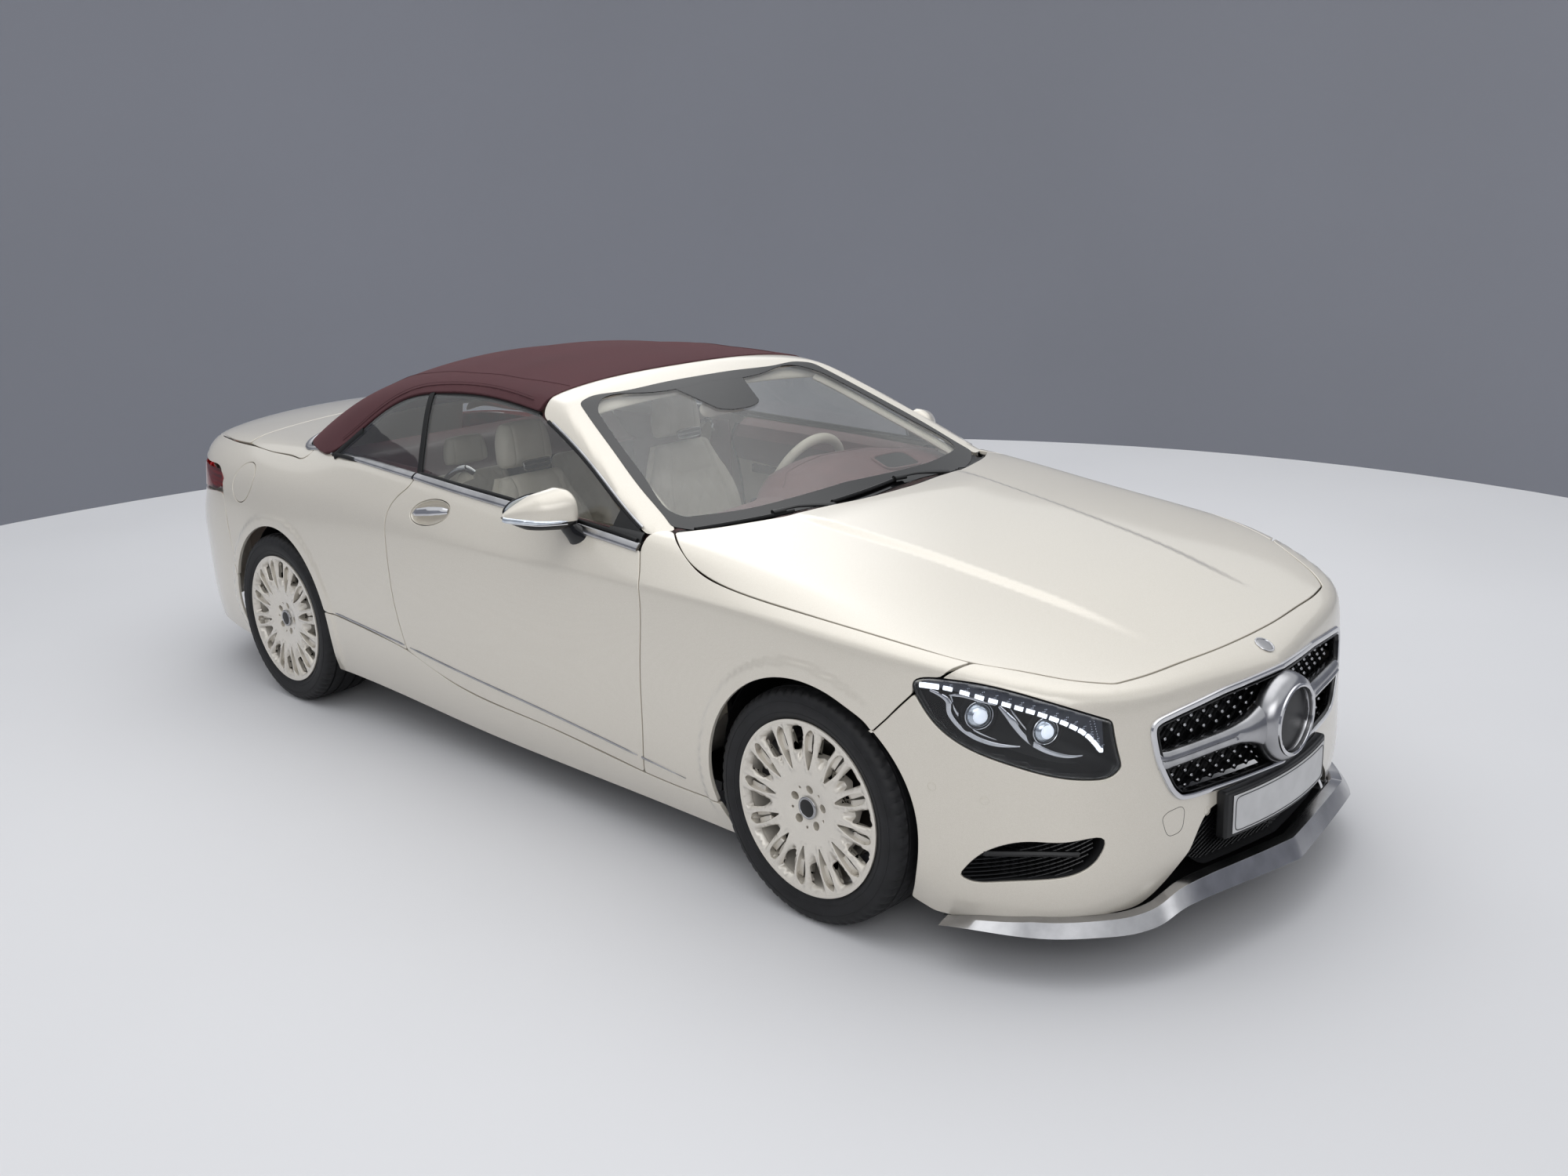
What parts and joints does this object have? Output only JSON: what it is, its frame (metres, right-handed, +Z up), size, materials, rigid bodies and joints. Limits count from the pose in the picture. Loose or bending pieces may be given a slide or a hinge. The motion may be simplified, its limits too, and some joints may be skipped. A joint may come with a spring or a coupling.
{
  "type": "two-door luxury convertible car",
  "caption": "Two-door luxury convertible car with a raised fabric roof, four spinning wheels, steered front wheels, and opening doors, bonnet and boot lid.",
  "frame": {"origin": "on the floor under the middle of the car", "axes": "+X to the car's left, +Y to the rear, +Z up"},
  "size_m": [2.108, 5.0407, 1.4184],
  "materials": {
    "body_paint": "metallic clear coat",
    "lamp_glass": "clear cover",
    "grille_black": "gloss",
    "satin_trim": "satin",
    "red_lens": "gloss",
    "clear_glass": "tinted",
    "roof_fabric": "woven",
    "wheel_paint": "metallic clear coat",
    "tyre_rubber": "matte",
    "cast_metal": "as cast",
    "chassis_metal": "satin",
    "black_plastic": "matte",
    "exhaust_steel": "satin",
    "dash_leather": "grained",
    "cream_leather": "soft grain"
  },
  "bodies": {
    "chassis": {"scuttle_panel": "black_plastic", "front_fender_left": "body_paint", "front_fender_right": "body_paint", "front_bumper": "body_paint", "headlamps": "lamp_glass", "radiator_grille": "grille_black", "front_splitter": "satin_trim", "side_sills": "body_paint", "rear_quarter_left": "body_paint", "rear_quarter_right": "body_paint", "tonneau_cover": "body_paint", "rear_bumper": "body_paint", "tail_lamps": "red_lens", "windscreen": "clear_glass", "windscreen_frame": "body_paint", "soft_top": "roof_fabric", "rear_window": "clear_glass", "quarter_glass": "clear_glass", "front_subframe": "chassis_metal", "rear_axle": "chassis_metal", "wheel_arch_liners": "black_plastic", "floor_pan": "chassis_metal", "boot_tub": "chassis_metal", "engine_block": "cast_metal", "exhaust_silencers": "exhaust_steel", "dashboard": "dash_leather", "centre_console": "dash_leather", "front_seats": "cream_leather", "rear_seats": "cream_leather"},
    "steering_wheel_body": {"steering_wheel": "cream_leather"},
    "door_left_body": {"door_left": "body_paint", "door_glass_left": "clear_glass", "door_mirror_left": "body_paint"},
    "door_right_body": {"door_right": "body_paint", "door_glass_right": "clear_glass", "door_mirror_right": "body_paint"},
    "bonnet_body": {"bonnet": "body_paint"},
    "boot_lid_body": {"boot_lid": "body_paint"},
    "knuckle_left": {"front_knuckle_left": "cast_metal"},
    "knuckle_right": {"front_knuckle_right": "cast_metal"},
    "front_left_wheel": {"wheel_front_left": "wheel_paint", "tyre_front_left": "tyre_rubber"},
    "front_right_wheel": {"wheel_front_right": "wheel_paint", "tyre_front_right": "tyre_rubber"},
    "rear_left_wheel": {"wheel_rear_left": "wheel_paint", "tyre_rear_left": "tyre_rubber"},
    "rear_right_wheel": {"wheel_rear_right": "wheel_paint", "tyre_rear_right": "tyre_rubber"}
  },
  "joints": [
    {"name": "steer_left", "type": "hinge", "parent": "chassis", "child": "knuckle_left", "pos_m": [0.752, -1.548, 0.35], "axis": [0, 0, 1], "range_deg": [-35, 35]},
    {"name": "steer_right", "type": "hinge", "parent": "chassis", "child": "knuckle_right", "pos_m": [-0.752, -1.548, 0.35], "axis": [0, 0, 1], "range_deg": [-35, 35]},
    {"name": "steering_wheel_turn", "type": "hinge", "parent": "chassis", "child": "steering_wheel_body", "pos_m": [0.37, -0.345, 0.925], "axis": [0, -0.9135, -0.4067], "range_deg": [-490, 490]},
    {"name": "door_left_hinge", "type": "hinge", "parent": "chassis", "child": "door_left_body", "pos_m": [0.931, -0.855, 0.6], "axis": [0, 0, -1], "range_deg": [0, 65]},
    {"name": "door_right_hinge", "type": "hinge", "parent": "chassis", "child": "door_right_body", "pos_m": [-0.931, -0.855, 0.6], "axis": [0, 0, 1], "range_deg": [0, 65]},
    {"name": "bonnet_hinge", "type": "hinge", "parent": "chassis", "child": "bonnet_body", "pos_m": [0, -0.872, 1.052], "axis": [-1, 0, 0], "range_deg": [0, 55]},
    {"name": "boot_lid_hinge", "type": "hinge", "parent": "chassis", "child": "boot_lid_body", "pos_m": [0, 1.858, 1.09], "axis": [1, 0, 0], "range_deg": [0, 70]},
    {"name": "front_left_wheel_spin", "type": "hinge", "parent": "knuckle_left", "child": "front_left_wheel", "pos_m": [0.812, -1.548, 0.35], "axis": [-1, 0, 0], "continuous": true},
    {"name": "front_right_wheel_spin", "type": "hinge", "parent": "knuckle_right", "child": "front_right_wheel", "pos_m": [-0.812, -1.548, 0.35], "axis": [-1, 0, 0], "continuous": true},
    {"name": "rear_left_wheel_spin", "type": "hinge", "parent": "chassis", "child": "rear_left_wheel", "pos_m": [0.812, 1.397, 0.35], "axis": [-1, 0, 0], "continuous": true},
    {"name": "rear_right_wheel_spin", "type": "hinge", "parent": "chassis", "child": "rear_right_wheel", "pos_m": [-0.812, 1.397, 0.35], "axis": [-1, 0, 0], "continuous": true}
  ],
  "couplings": [
    {"joint": "steer_right", "follows": "steer_left", "ratio": 1},
    {"joint": "steering_wheel_turn", "follows": "steer_left", "ratio": 14}
  ]
}
